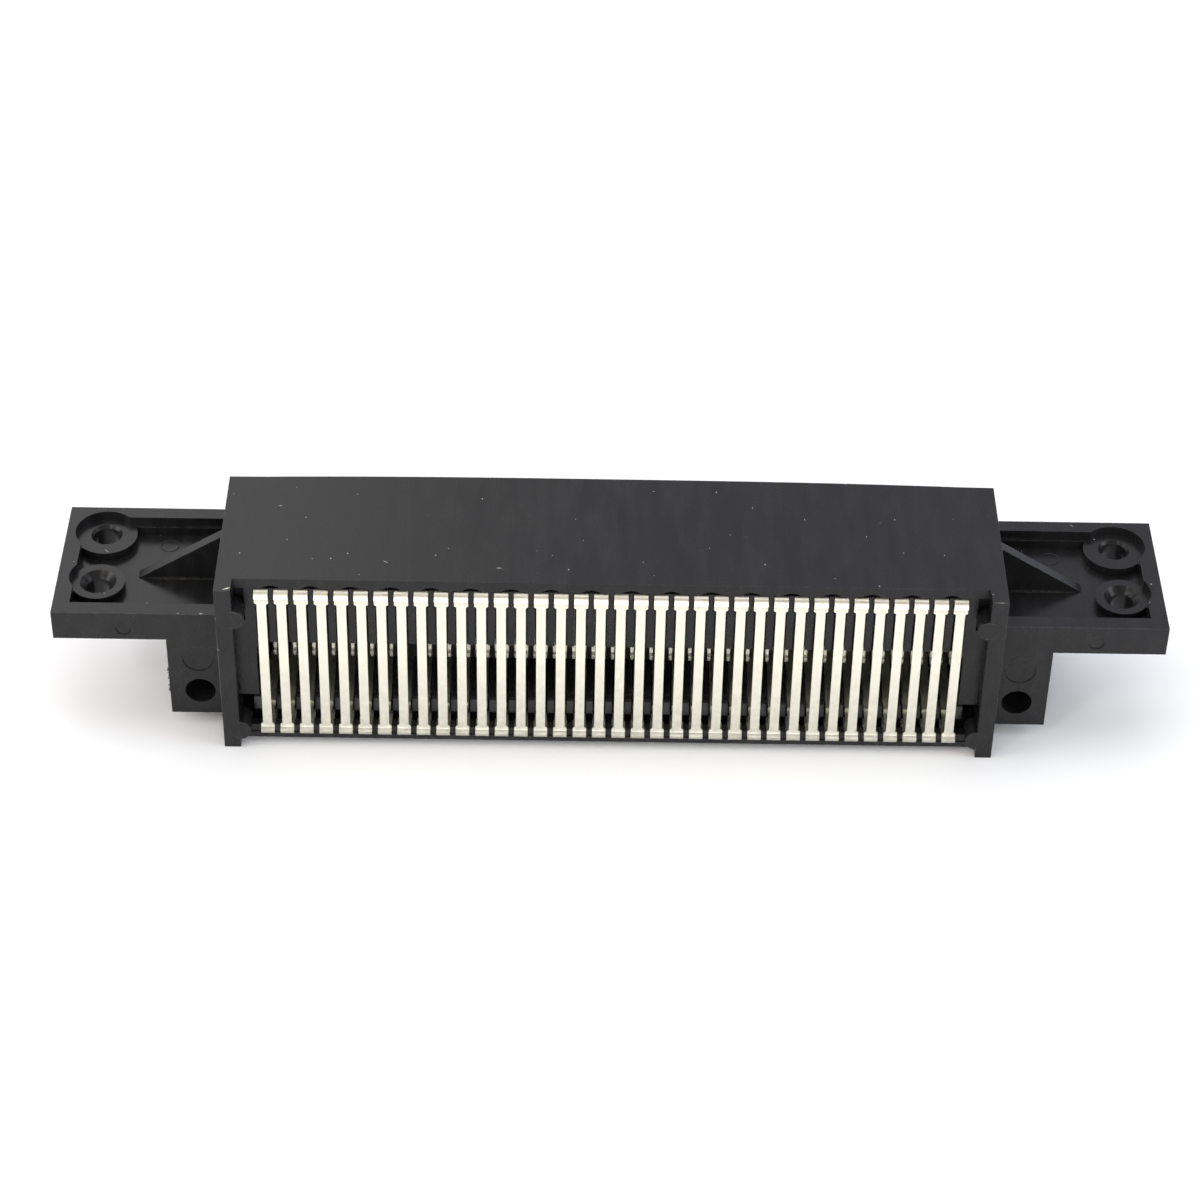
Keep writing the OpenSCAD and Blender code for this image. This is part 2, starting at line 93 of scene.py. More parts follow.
class ShaderTree:
    """A shader node tree, with short calls to add and join its nodes."""

    def __init__(self, tree: bpy.types.ShaderNodeTree, place: str) -> None:
        """Takes up a tree.

        Args:
            tree: the tree.
            place: the kind of coordinates that its patterns lie on.
        """
        self.nodes, self.links = tree.nodes, tree.links
        self.place = self.nodes.new("ShaderNodeTexCoord").outputs[place]

    def add(self, kind: str, settings: dict | None = None, **inputs: object) -> bpy.types.Node:
        """Adds a node.

        Args:
            kind: the node's type.
            settings: values of the node's own properties.
            **inputs: values or sockets for its inputs, by name with _ for a space.

        Returns:
            The new node.
        """
        node = self.nodes.new(kind)
        for key, value in (settings or {}).items():
            setattr(node, key, value)
        for key, value in inputs.items():
            self.feed(node.inputs[key.replace("_", " ")], value)
        return node

    def feed(self, socket: bpy.types.NodeSocket, value: object) -> None:
        """Joins a socket to an input, or sets the input's own value.

        Args:
            socket: the input.
            value: another node's output, or a number, vector or colour.
        """
        if isinstance(value, bpy.types.NodeSocket):
            self.links.new(value, socket)
        else:
            socket.default_value = value

    def math(self, operation: str, a: object, b: object = 0.0) -> bpy.types.NodeSocket:
        """Adds a Math node.

        Args:
            operation: the node's operation.
            a: the first value or socket.
            b: the second value or socket.

        Returns:
            Its output.
        """
        node = self.nodes.new("ShaderNodeMath")
        node.operation = operation
        self.feed(node.inputs[0], a)
        self.feed(node.inputs[1], b)
        return node.outputs[0]

    def spread(
        self, value: object, low: float, high: float, to_low: float, to_high: float
    ) -> bpy.types.NodeSocket:
        """Maps a value from one range to another, clamped.

        Args:
            value: the socket to map.
            low: value that becomes to_low.
            high: value that becomes to_high.
            to_low: result at low.
            to_high: result at high.

        Returns:
            The mapped value.
        """
        node = self.nodes.new("ShaderNodeMapRange")
        for index, item in enumerate((value, low, high, to_low, to_high)):
            self.feed(node.inputs[index], item)
        return node.outputs[0]

    def noise(
        self, per_mm: float, detail: float = 2.0, stretch: Triple = (1, 1, 1)
    ) -> bpy.types.NodeSocket:
        """Adds noise.

        Args:
            per_mm: how many of its blotches lie in a millimetre.
            detail: how many finer layers it has.
            stretch: how much finer it is along each axis.

        Returns:
            Its value, from 0 to 1.
        """
        scaled = self.add("ShaderNodeMapping", Vector=self.place)
        scaled.inputs["Scale"].default_value = stretch
        node = self.add("ShaderNodeTexNoise", Scale=per_mm / MM, Detail=detail)
        self.links.new(scaled.outputs[0], node.inputs["Vector"])
        return node.outputs[0]

    def spot(
        self, centre: Triple, size: Triple, turn: float = 0.0, edge: tuple[float, float] = (0.5, 1.0)
    ) -> bpy.types.NodeSocket:
        """Marks the inside of an ellipsoid.

        Args:
            centre: its middle, in millimetres.
            size: its half axes, in millimetres.
            turn: its turn about Z, in radians.
            edge: shares of the half axes at which the mark begins to fade and is gone.

        Returns:
            1 inside it, 0 outside.
        """
        inside = self.add("ShaderNodeMapping", {"vector_type": "TEXTURE"}, Vector=self.place)
        inside.inputs["Location"].default_value = [part * MM for part in centre]
        inside.inputs["Rotation"].default_value = (0, 0, turn)
        inside.inputs["Scale"].default_value = [part * MM for part in size]
        far = self.nodes.new("ShaderNodeVectorMath")
        far.operation = "LENGTH"
        self.links.new(inside.outputs[0], far.inputs[0])
        return self.spread(far.outputs["Value"], edge[0], edge[1], 1, 0)

    def ring(self, centre: Triple, radius: float, width: float) -> bpy.types.NodeSocket:
        """Marks a thin shell round a point, which is a ring on the face that the point lies in.

        Args:
            centre: its middle, in millimetres.
            radius: its radius, in millimetres.
            width: its width, in millimetres.

        Returns:
            1 on it, 0 elsewhere.
        """
        half = width / radius / 2
        whole = self.spot(centre, (radius,) * 3, 0, (1.0, 1 + half))
        hole = self.spot(centre, (radius,) * 3, 0, (1 - half, 1.0))
        return self.math("SUBTRACT", whole, hole)

    def most(self, shares: list[bpy.types.NodeSocket]) -> bpy.types.NodeSocket:
        """Joins marks into one by their greatest value.

        Args:
            shares: the marks.

        Returns:
            The joined mark.
        """
        result = shares[0]
        for share in shares[1:]:
            result = self.math("MAXIMUM", result, share)
        return result

    def blend(self, share: object, first: object, second: object) -> bpy.types.NodeSocket:
        """Mixes two colours.

        Args:
            share: share of the second colour.
            first: the first colour or socket.
            second: the second colour or socket.

        Returns:
            The mixed colour.
        """
        node = self.nodes.new("ShaderNodeMix")
        node.data_type = "RGBA"
        self.feed(node.inputs[0], share)
        for index, value in zip(MIX_COLOURS, (first, second)):
            self.feed(node.inputs[index], value)
        return node.outputs[MIX_RESULT]

    def bump(self, height: object, depth: float, after: object = None) -> bpy.types.NodeSocket:
        """Adds a bump.

        Args:
            height: the height, from 0 to 1.
            depth: how deep it is, in metres.
            after: another bump's normal that this one adds to.

        Returns:
            The bent normal.
        """
        node = self.add("ShaderNodeBump", Height=height, Distance=depth)
        if after is not None:
            self.links.new(after, node.inputs["Normal"])
        return node.outputs[0]


class MaterialTree(ShaderTree):
    """A material's node tree, with its patterns on the object's own coordinates."""

    def __init__(self, name: str) -> None:
        """Makes an empty material.

        Args:
            name: the material's name.
        """
        self.material = bpy.data.materials.new(name)
        self.material.use_nodes = True
        self.material.node_tree.nodes.clear()
        self.output = self.material.node_tree.nodes.new("ShaderNodeOutputMaterial")
        super().__init__(self.material.node_tree, "Object")

    def finish(self, shader: bpy.types.Node) -> bpy.types.Material:
        """Joins the last shader to the output.

        Args:
            shader: the last shader node.

        Returns:
            The finished material.
        """
        self.links.new(shader.outputs[0], self.output.inputs["Surface"])
        return self.material


@dataclass(frozen=True)
class Mark:
    """A pale place on the moulding, where stress whitened or scuffed it, or a painted highlight: an
    ellipsoid, in millimetres.
    """

    centre: Triple
    size: Triple
    turn: float = 0.0
    strength: float = 1.0


@dataclass(frozen=True)
class Ring:
    """A round line left by an ejector or an insert of the mould, in millimetres."""

    centre: Triple
    radius: float
    width: float


@dataclass(frozen=True)
class MouldedPlastic:
    """Black moulding: satin, streaked by its flow, pale along its arrises and where stress whitened it, with
    painted highlights along the gussets' feet.
    """

    shade: Colour = (0.0092, 0.0089, 0.0096, 1)
    streak: Colour = (0.0155, 0.0148, 0.0156, 1)
    arris_pale: Colour = (0.085, 0.083, 0.083, 1)
    # Pale colour of stress whitening, also used for the painted highlights along the gussets' feet
    stress_white_and_highlight: Colour = (0.75, 0.71, 0.62, 1)
    roughness: float = 0.25
    gloss: float = 0.27
    flow_per_mm: float = 0.22
    flow_stretch: Triple = (2.2, 0.5, 0.8)
    flow_tone: Spread = (0.38, 0.7, 0, 0.8)
    flow_rough: Spread = (0.3, 0.7, -0.05, 0.06)
    fine_per_mm: float = 1.6
    fine_stretch: Triple = (2.5, 0.12, 0.5)
    fine_tone: Spread = (0.45, 0.75, 0, 0.3)
    arris_patch_per_mm: float = 0.7
    arris_patch_tone: Spread = (0.35, 0.65, 0.1, 0.9)
    ragged_per_mm: float = 3.5
    ragged_tone: Spread = (0.35, 0.55, 0.25, 1)
    grain_per_mm: float = 9.0
    grain_depth: float = 0.0022 * MM
    grain_rough: Spread = (0.3, 0.7, -0.03, 0.03)
    ripple_per_mm: float = 0.12
    ripple_depth: float = 0.010 * MM
    ring_depth: float = 0.03 * MM
    ring_gaps: Spread = (0.35, 0.5, 0.2, 1)
    marks: tuple[Mark, ...] = (
        Mark((-47.72, -12.45, 26.0), (0.62, 0.13, 0.3), math.radians(27)),
        Mark((48.3, -12.97, 26.0), (1.0, 0.09, 0.09), 0, 0.22),
        Mark((47.44, -11.35, 26.0), (0.16, 0.16, 0.3), 0, 0.25),
        Mark((-49.38, -13.0, 21.4), (0.1, 0.1, 0.55), 0, 0.35),
        Mark((-49.35, -13.0, 13.5), (0.09, 0.09, 7.5), 0, 0.1),
        Mark((-49.3, -13.0, 16.4), (0.16, 0.1, 0.3), 0, 0.22),
        Mark((-51.75, -8.3, 18.35), (0.3, 0.14, 0.14), 0, 0.5),
        Mark((-54.66, -8.3, 18.35), (0.22, 0.12, 0.12), 0, 0.35),
        # Painted highlights: pale lines along the gussets' feet, where their small fillets catch the light
        Mark((-55.3, 1.25, 16.15), (5.8, 0.28, 0.28), 0, 0.05),
        Mark((55.3, 1.25, 16.15), (5.8, 0.28, 0.28), 0, 0.05),
    )
    rings: tuple[Ring, ...] = tuple(
        Ring((side * x, y, z), radius, width)
        for x, y, z, radius, width in (
            (52.55, -8.5, 10.95, 2.0, 0.14),
            (61.7, -8.5, 15.8, 0.95, 0.14),
            (57.45, 7.93, 16.1, 1.15, 0.2),
            (47.25, -13.0, 21.3, 1.3, 0.14),
            (47.25, -13.0, 2.85, 1.3, 0.14),
        )
        for side in (-1, 1)
    )

    def material(self) -> bpy.types.Material:
        """Builds the material.

        Returns:
            The material for the moulding.
        """
        tree = MaterialTree("black_moulding")
        flow = tree.noise(self.flow_per_mm, 3, self.flow_stretch)
        fine_flow = tree.noise(self.fine_per_mm, 2, self.fine_stretch)
        colour = tree.blend(tree.spread(flow, *self.flow_tone), self.shade, self.streak)
        colour = tree.blend(tree.spread(fine_flow, *self.fine_tone), colour, self.streak)
        # Paler in patches on the faces of the broken arrises
        arris = tree.add("ShaderNodeAttribute", {"attribute_name": ARRIS}).outputs["Fac"]
        patchy = tree.noise(self.arris_patch_per_mm, 4)
        pale_arrises = tree.math("MULTIPLY", arris, tree.spread(patchy, *self.arris_patch_tone))
        colour = tree.blend(pale_arrises, colour, self.arris_pale)
        ragged = tree.spread(tree.noise(self.ragged_per_mm, 3), *self.ragged_tone)
        # Pale marks: stress whitening, rubs, and the painted highlights along the gussets' feet
        spots = [tree.math("MULTIPLY", tree.spot(m.centre, m.size, m.turn), m.strength) for m in self.marks]
        colour = tree.blend(tree.math("MULTIPLY", tree.most(spots), ragged), colour, self.stress_white_and_highlight)
        grain = tree.noise(self.grain_per_mm, 3)
        normal = tree.bump(tree.noise(self.ripple_per_mm, 2), self.ripple_depth)
        normal = tree.bump(grain, self.grain_depth, normal)
        rings = tree.most([tree.ring(r.centre, r.radius, r.width) for r in self.rings])
        broken = tree.math("MULTIPLY", rings, tree.spread(patchy, *self.ring_gaps))
        normal = tree.bump(tree.math("SUBTRACT", 1.0, broken), self.ring_depth, normal)
        rough = tree.math("ADD", tree.spread(flow, *self.flow_rough), self.roughness)
        grainy = tree.spread(grain, *self.grain_rough)
        return tree.finish(tree.add(
            "ShaderNodeBsdfPrincipled", Base_Color=colour, Normal=normal,
            Specular_IOR_Level=self.gloss, Roughness=tree.math("ADD", rough, grainy),
        ))


@dataclass(frozen=True)
class TinPlate:
    """Bright tin plate on rolled strip: faint rolling lines, duller where it bends, and painted shade low
    down, where the strip reflects the shadowed floor.
    """

    name: str
    shade: Colour
    roughness: float
    bend_height: float
    brown_tone: Colour = (0.5, 0.44, 0.37, 1)
    patch_per_mm: float = 0.45
    patch_tone: Spread = (0.45, 0.8, 0, 0.22)
    line_per_mm: float = 6.0
    line_stretch: Triple = (3.0, 1.0, 0.08)
    line_depth: float = 0.004 * MM
    line_tone: Spread = (0.3, 0.7, 0.5, 1)
    bend_tone: Spread = (0.2 * MM, 0.5 * MM, 0.55, 0)
    # Colour of the painted shade towards the feet
    foot_shade: Colour = (0.52, 0.505, 0.44, 1)
    foot_shade_share: float = 0.0
    foot_shade_low: float = 1.5 * MM
    foot_shade_high: float = 15.0 * MM
    mottle_per_mm: float = 1.1
    mottle_tone: Spread = (0.35, 0.65, 0.5, 1)
    polish_range: tuple[float, float] = (0.3, 0.75)
    polish: tuple[float, float] = (-0.05, 0.1)

    def material(self) -> bpy.types.Material:
        """Builds the material.

        Returns:
            The material for a row of strips.
        """
        tree = MaterialTree(self.name)
        height = tree.add("ShaderNodeSeparateXYZ", Vector=tree.place).outputs["Z"]
        from_bend = tree.math("ABSOLUTE", tree.math("SUBTRACT", height, self.bend_height))
        patchy = tree.noise(self.patch_per_mm, 3)
        lines = tree.noise(self.line_per_mm, 2, self.line_stretch)
        # Browner close to the bend height, along the rolling lines
        near_bend = tree.spread(from_bend, *self.bend_tone)
        bend = tree.math("MULTIPLY", near_bend, tree.spread(lines, *self.line_tone))
        colour = tree.blend(tree.spread(patchy, *self.patch_tone), self.shade, self.brown_tone)
        colour = tree.blend(bend, colour, self.brown_tone)
        # Painted shade: darker and greyer towards the feet, which reflect the shadowed floor near the part,
        # broken up by a mottle
        foot_shade_mask = tree.spread(height, self.foot_shade_low, self.foot_shade_high, self.foot_shade_share, 0)
        mottle = tree.spread(tree.noise(self.mottle_per_mm, 4), *self.mottle_tone)
        colour = tree.blend(tree.math("MULTIPLY", foot_shade_mask, mottle), colour, self.foot_shade)
        smooth, rough = (self.roughness + part for part in self.polish)
        return tree.finish(tree.add(
            "ShaderNodeBsdfPrincipled", Base_Color=colour, Normal=tree.bump(lines, self.line_depth),
            Metallic=1.0, Roughness=tree.spread(patchy, *self.polish_range, smooth, rough),
        ))


@dataclass(frozen=True)
class PlainFinish:
    """One even, matt colour, such as the dust's and the floor's."""

    name: str
    shade: Colour
    roughness: float

    def material(self) -> bpy.types.Material:
        """Builds the material.

        Returns:
            The material.
        """
        tree = MaterialTree(self.name)
        return tree.finish(tree.add(
            "ShaderNodeBsdfPrincipled", Base_Color=self.shade, Roughness=self.roughness
        ))


@dataclass(frozen=True)
class Bend:
    """A corner of a strip's middle line, seen from the side.

    Attributes:
        depth: depth from the end plates' face, in millimetres.
        height: height above the surface that the part stands on, in millimetres.
        radius: radius that rounds it, in millimetres.
    """

    depth: float
    height: float
    radius: float


def linked(name: str, data: bpy.types.ID) -> bpy.types.Object:
    """Makes an object and links it to the scene.

    Args:
        name: the object's name.
        data: its mesh, light or camera.

    Returns:
        The object.
    """
    item = bpy.data.objects.new(name, data)
    bpy.context.scene.collection.objects.link(item)
    return item


def mesh_from(work: bmesh.types.BMesh, name: str) -> bpy.types.Mesh:
    """Writes a working mesh to a new plain one, and frees it.

    Args:
        work: the working mesh.
        name: the plain mesh's name.

    Returns:
        The plain mesh.
    """
    mesh = bpy.data.meshes.new(name)
    work.to_mesh(mesh)
    work.free()
    return mesh


def node_group(name: str, kinds: dict[str, str]) -> Group:
    """Makes a Geometry Nodes tree that has a geometry input and output, and named inputs.

    Args:
        name: the tree's name.
        kinds: the socket type of each named input.

    Returns:
        The tree, and the identifier of each of its named inputs.
    """
    tree = bpy.data.node_groups.new(name, "GeometryNodeTree")
    for way in ("INPUT", "OUTPUT"):
        tree.interface.new_socket("Geometry", in_out=way, socket_type="NodeSocketGeometry")
    names = {
        label: tree.interface.new_socket(label, in_out="INPUT", socket_type=kind).identifier
        for label, kind in kinds.items()
    }
    return tree, names


def end_group(
    tree: bpy.types.GeometryNodeTree, geometry: bpy.types.NodeSocket, finish: bpy.types.NodeSocket
) -> None:
    """Ends a Geometry Nodes tree: its instances become real and take their material.

    Args:
        tree: the tree.
        geometry: the instances.
        finish: the material.
    """
    new, join = tree.nodes.new, tree.links.new
    real, dressed = new("GeometryNodeRealizeInstances"), new("GeometryNodeSetMaterial")
    join(geometry, real.inputs[0])
    join(real.outputs[0], dressed.inputs["Geometry"])
    join(finish, dressed.inputs["Material"])
    join(dressed.outputs[0], new("NodeGroupOutput").inputs[0])


def new_piece(name: str, mesh: bpy.types.Mesh) -> bpy.types.Object:
    """Links a mesh to the scene as a piece of the object that rides on the root body.

    Args:
        name: the piece's name.
        mesh: its mesh, already in place.

    Returns:
        The piece.
    """
    piece = linked(name, mesh)
    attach(piece, ROOT_BODY)
    LOG.info("%s: %d faces", name, len(mesh.polygons))
    return piece


def baked(source: bpy.types.Object, name: str) -> bpy.types.Mesh:
    """Turns an object with modifiers into a plain mesh, and removes the object.

    Args:
        source: the object, linked to the scene.
        name: the new mesh's name.

    Returns:
        The plain mesh.
    """
    graph = bpy.context.evaluated_depsgraph_get()
    mesh = bpy.data.meshes.new_from_object(source.evaluated_get(graph))
    mesh.name = name
    bpy.data.objects.remove(source)
    return mesh


def laid_out(holder: bpy.types.Object, group: Group, values: dict[str, object], name: str) -> bpy.types.Mesh:
    """Runs a Geometry Nodes tree on an object, keeps the result as a plain mesh and removes the object.

    Args:
        holder: the object, linked to the scene.
        group: the tree and its inputs' identifiers.
        values: the value of each of its named inputs.
        name: the mesh's name.

    Returns:
        The plain mesh.
    """
    tree, names = group
    modifier = holder.modifiers.new(name, "NODES")
    modifier.node_group = tree
    for label, value in values.items():
        modifier[names[label]] = value
    return baked(holder, name)


@dataclass(frozen=True)
class ConnectorSizes:
    """Main sizes of the moulding and its strips, in millimetres, with depths from the end plates' face."""

    positions: int = 36
    pitch: float = 2.5
    strip_t: float = 0.3
    bend_r: float = 0.5
    arm_bend_r: float = 1.4
    tip_l: float = 2.1
    tip_h: float = 1.1
    bow: float = 0.55
    stop_y: float = 8.4
    plate_y: float = 6.0
    head_top: float = 23.82
    foot_bottom: float = 1.8
    plate_top: float = 2.1
    lay_gap: float = 0.1
    card_z: float = 20.55
    card_bow_y: float = 15.5
    board_z: float = 5.9
    board_bow_y: float = 19.5
    board_top: float = 7.2
    floor_z: float = 16.6
    roof_z: float = 9.0
    head_y: float = 2.2
    foot_y: float = 1.0
    inner_y: float = 10.25
    inner_seat_l: float = 2.2
    arm_w: float = 1.2
    base_depth: float = 26.0


@dataclass
class Moulding:
    """The one-piece black housing, with its arrises broken.

    Attributes:
        sizes: the part's main sizes.
        node: the frame's node that it replaces.
        long_edge: length from which an edge has the wide arris.
        wall_low: height above which a point belongs to the bowed top wall.
        wall_half: half length of the top wall between the end plates.
        wall_front: place along Y where the bow begins.
        wall_depth: depth over which it grows.
        bow: its height at the middle of the mouth edge.
        bow_flatness: how flat it is about its middle.
        bow_fullness: how soon it falls off towards the end plates.
        bow_gather: how much it gathers towards the mouth edge.
        bow_cuts: number of spans that the wall is cut into.
        panel_half: half width of the panels behind the strips' upper backs, in millimetres.
        panel_low: their lowest depth and height, in millimetres.
        panel_high: their highest depth and height, in millimetres.
        end_blocks: lowest and highest corner of the wall and the sole at the right end, in millimetres.
    """

    sizes: ConnectorSizes
    node: str = "housing"
    merge_distance: float = 0.002 * MM
    flat_angle: float = math.radians(0.4)
    arris_angle: float = math.radians(32)
    arris_width: float = 0.09 * MM
    comb_arris_width: float = 0.035 * MM
    arris_segments: int = 2
    arris_profile: float = 0.6
    long_edge: float = 4.0 * MM
    wall_low: float = 24.48 * MM
    wall_half: float = 47.25 * MM
    wall_front: float = -10.5 * MM
    wall_depth: float = 20.7 * MM
    bow: float = 0.47 * MM
    bow_flatness: int = 3
    bow_fullness: float = 1.15
    bow_gather: float = 1.3
    bow_cuts: int = 36
    cut_distance: float = 1e-7
    panel_half: float = 0.79
    panel_low: tuple[float, float] = (3.75, 14.8)
    panel_high: tuple[float, float] = (3.95, 23.2)
    end_blocks: tuple[tuple[Triple, Triple], ...] = (
        ((44.74, 2.5, 6.9), (47.2, 8.4, 9.05)),
        ((45.85, 2.0, 0.9), (47.2, 6.05, 2.05)),
    )

    def build(self, cad: bpy.types.Object, finish: bpy.types.Material) -> bpy.types.Object:
        """Builds the housing.

        Args:
            cad: the frame's own node.
            finish: its material.

        Returns:
            The piece that replaces the node.
        """
        work = bmesh.new()
        work.from_mesh(cad.data)
        bmesh.ops.remove_doubles(work, verts=work.verts, dist=self.merge_distance)
        bmesh.ops.dissolve_limit(
            work, angle_limit=self.flat_angle, verts=work.verts, edges=work.edges,
            use_dissolve_boundaries=False,
        )
        self.bow_top_wall(work)
        self.break_arrises(work)
        self.close_pockets(work)
        self.settle_order(work)
        mesh = mesh_from(work, "moulding")
        mesh.materials.clear()
        mesh.materials.append(finish)
        piece = new_piece("moulding", mesh)
        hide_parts(self.node)
        return piece

    def bow_top_wall(self, work: bmesh.types.BMesh) -> None:
        """Bows the top wall upwards between the end plates, the more the nearer to its free mouth edge.

        Args:
            work: the merged mesh of the housing.
        """
        for cut in range(1, self.bow_cuts):
            x = self.wall_half * (2 * cut / self.bow_cuts - 1)
            faces = [face for face in work.faces if all(vert.co.z > self.wall_low for vert in face.verts)]
            parts = dict.fromkeys(part for face in faces for part in (*face.verts, *face.edges))
            bmesh.ops.bisect_plane(
                work, geom=[*faces, *parts], dist=self.cut_distance, plane_co=(x, 0, 0), plane_no=(1, 0, 0)
            )
        for vert in work.verts:
            if vert.co.z > self.wall_low and abs(vert.co.x) < self.wall_half:
                along = (1 - abs(vert.co.x / self.wall_half) ** self.bow_flatness) ** self.bow_fullness
                inwards = min(max((vert.co.y - self.wall_front) / self.wall_depth, 0.0), 1.0)
                vert.co.z += self.bow * along * inwards ** self.bow_gather

    def close_pockets(self, work: bmesh.types.BMesh) -> None:
        """Adds the panels behind the strips' upper backs, and a wall and a sole at each end of the row.

        Args:
            work: the housing's mesh.
        """
        s = self.sizes
        middles = [(index - (s.positions - 1) / 2) * s.pitch for index in range(s.positions)]
        low, high = self.panel_low, self.panel_high
        blocks = [((x - self.panel_half, *low), (x + self.panel_half, *high)) for x in middles]
        for near, far in self.end_blocks:
            blocks.append((near, far))
            blocks.append(((-far[0], *near[1:]), (-near[0], *far[1:])))
        for near, far in blocks:
            size = Vector(far) - Vector(near)
            centre = (Vector(near) + Vector(far)) / 2 - Vector((0, s.base_depth / 2, 0))
            place = Matrix.Translation(centre * MM) @ Matrix.Diagonal((*(size * MM), 1))
            bmesh.ops.create_cube(work, size=1, matrix=place)

    def break_arrises(self, work: bmesh.types.BMesh) -> None:
        """Bevels the sharp edges, the long outer ones wider than the comb's, and marks the new faces.

        Args:
            work: the merged mesh of the housing.
        """
        arris = work.faces.layers.float.new(ARRIS)
        for width, is_long in ((self.arris_width, True), (self.comb_arris_width, False)):
            edges = [
                edge for edge in work.edges
                if edge.is_manifold and edge.calc_face_angle(0) > self.arris_angle
                and edge.is_convex and (edge.calc_length() > self.long_edge) == is_long
                and not any(face[arris] for face in edge.link_faces)
            ]
            made = bmesh.ops.bevel(
                work, geom=edges, offset=width, offset_type="OFFSET", segments=self.arris_segments,
                profile=self.arris_profile, affect="EDGES", clamp_overlap=True, miter_outer="SHARP",
            )
            for face in made["faces"]:
                face[arris] = 1.0
        for face in work.faces:
            face.smooth = False

    def settle_order(self, work: bmesh.types.BMesh) -> None:
        """Gives the faces the same order on every run, because the litter's scatter follows it.

        The bevel leaves them in an order that changes from run to run.

        Args:
            work: the housing's finished mesh.
        """
        work.verts.index_update()
        ordered = sorted(work.faces, key=lambda face: [vert.index for vert in face.verts])
        places = {face: place for place, face in enumerate(ordered)}
        work.faces.sort(key=places.get)


@dataclass
class Litter:
    """Loose specks or threads scattered over the faces that look up.

    Attributes:
        name: the piece's name.
        grain: half axes of a grain of unit size.
        density: grains in a square millimetre.
        smallest: size of the smallest grain, in millimetres.
        largest: size of the largest grain, in millimetres.
        seed: seed of the scatter.
        lowest: lowest height that has grains, in metres.
        upright: least upward part of a face's normal.
    """

    name: str
    grain: Triple
    density: float
    smallest: float
    largest: float
    seed: int
    lowest: float = 15.9 * MM
    upright: float = 0.9

    def grain_source(self) -> bpy.types.Object:
        """Makes one grain of unit size.

        Returns:
            The grain, linked to the scene.
        """
        work = bmesh.new()
        bmesh.ops.create_icosphere(work, subdivisions=1, radius=1)
        bmesh.ops.scale(work, vec=self.grain, verts=work.verts)
        return linked(self.name + "_grain", mesh_from(work, self.name + "_grain"))

    def scatter_tree(self) -> Group:
        """Builds the Geometry Nodes tree that scatters the grains over the holder's own mesh.

        Returns:
            The tree, and the identifier of each of its inputs by name.
        """
        tree, names = node_group(self.name + "_scatter", {
            "Grain": "NodeSocketObject", "Density": "NodeSocketFloat", "Lowest": "NodeSocketFloat",
            "Smallest": "NodeSocketFloat", "Largest": "NodeSocketFloat", "Seed": "NodeSocketInt",
            "Finish": "NodeSocketMaterial",
        })
        new, join = tree.nodes.new, tree.links.new
        given, both = new("NodeGroupInput"), new("FunctionNodeBooleanMath")
        points, placed = new("GeometryNodeDistributePointsOnFaces"), new("GeometryNodeInstanceOnPoints")
        place, normal = new("GeometryNodeInputPosition"), new("GeometryNodeInputNormal")
        for index, (source, level) in enumerate(((place, given.outputs["Lowest"]), (normal, None))):
            parts, above = new("ShaderNodeSeparateXYZ"), new("FunctionNodeCompare")
            above.operation = "GREATER_THAN"
            join(source.outputs[0], parts.inputs[0])
            join(parts.outputs["Z"], above.inputs["A"])
            if level is None:
                above.inputs["B"].default_value = self.upright
            else:
                join(level, above.inputs["B"])
            join(above.outputs[0], both.inputs[index])
        join(given.outputs["Geometry"], points.inputs["Mesh"])
        join(both.outputs[0], points.inputs["Selection"])
        join(given.outputs["Density"], points.inputs["Density"])
        join(given.outputs["Seed"], points.inputs["Seed"])
        size, turn = new("FunctionNodeRandomValue"), new("FunctionNodeRandomValue")
        angle, source = new("ShaderNodeCombineXYZ"), new("GeometryNodeObjectInfo")
        join(given.outputs["Smallest"], size.inputs[2])
        join(given.outputs["Largest"], size.inputs[3])
        turn.inputs[3].default_value = math.tau
        for number in (size, turn):
            join(given.outputs["Seed"], number.inputs["Seed"])
        join(turn.outputs[1], angle.inputs["Z"])
        join(given.outputs["Grain"], source.inputs["Object"])
        join(points.outputs["Points"], placed.inputs["Points"])
        join(source.outputs["Geometry"], placed.inputs["Instance"])
        join(angle.outputs[0], placed.inputs["Rotation"])
        join(size.outputs[1], placed.inputs["Scale"])
        end_group(tree, placed.outputs[0], given.outputs["Finish"])
        return tree, names

    def build(self, moulding: bpy.types.Object, finish: bpy.types.Material) -> bpy.types.Object:
        """Scatters the grains.

        Args:
            moulding: the finished housing.
            finish: the grains' material.

        Returns:
            The grains, as one piece.
        """
        source = self.grain_source()
        holder = linked(self.name + "_holder", moulding.data.copy())
        values = {
            "Grain": source, "Density": self.density / MM ** 2, "Lowest": self.lowest,
            "Smallest": self.smallest * MM, "Largest": self.largest * MM, "Seed": self.seed, "Finish": finish,
        }
        mesh = laid_out(holder, self.scatter_tree(), values, self.name)
        bpy.data.objects.remove(source)
        return new_piece(self.name, mesh)


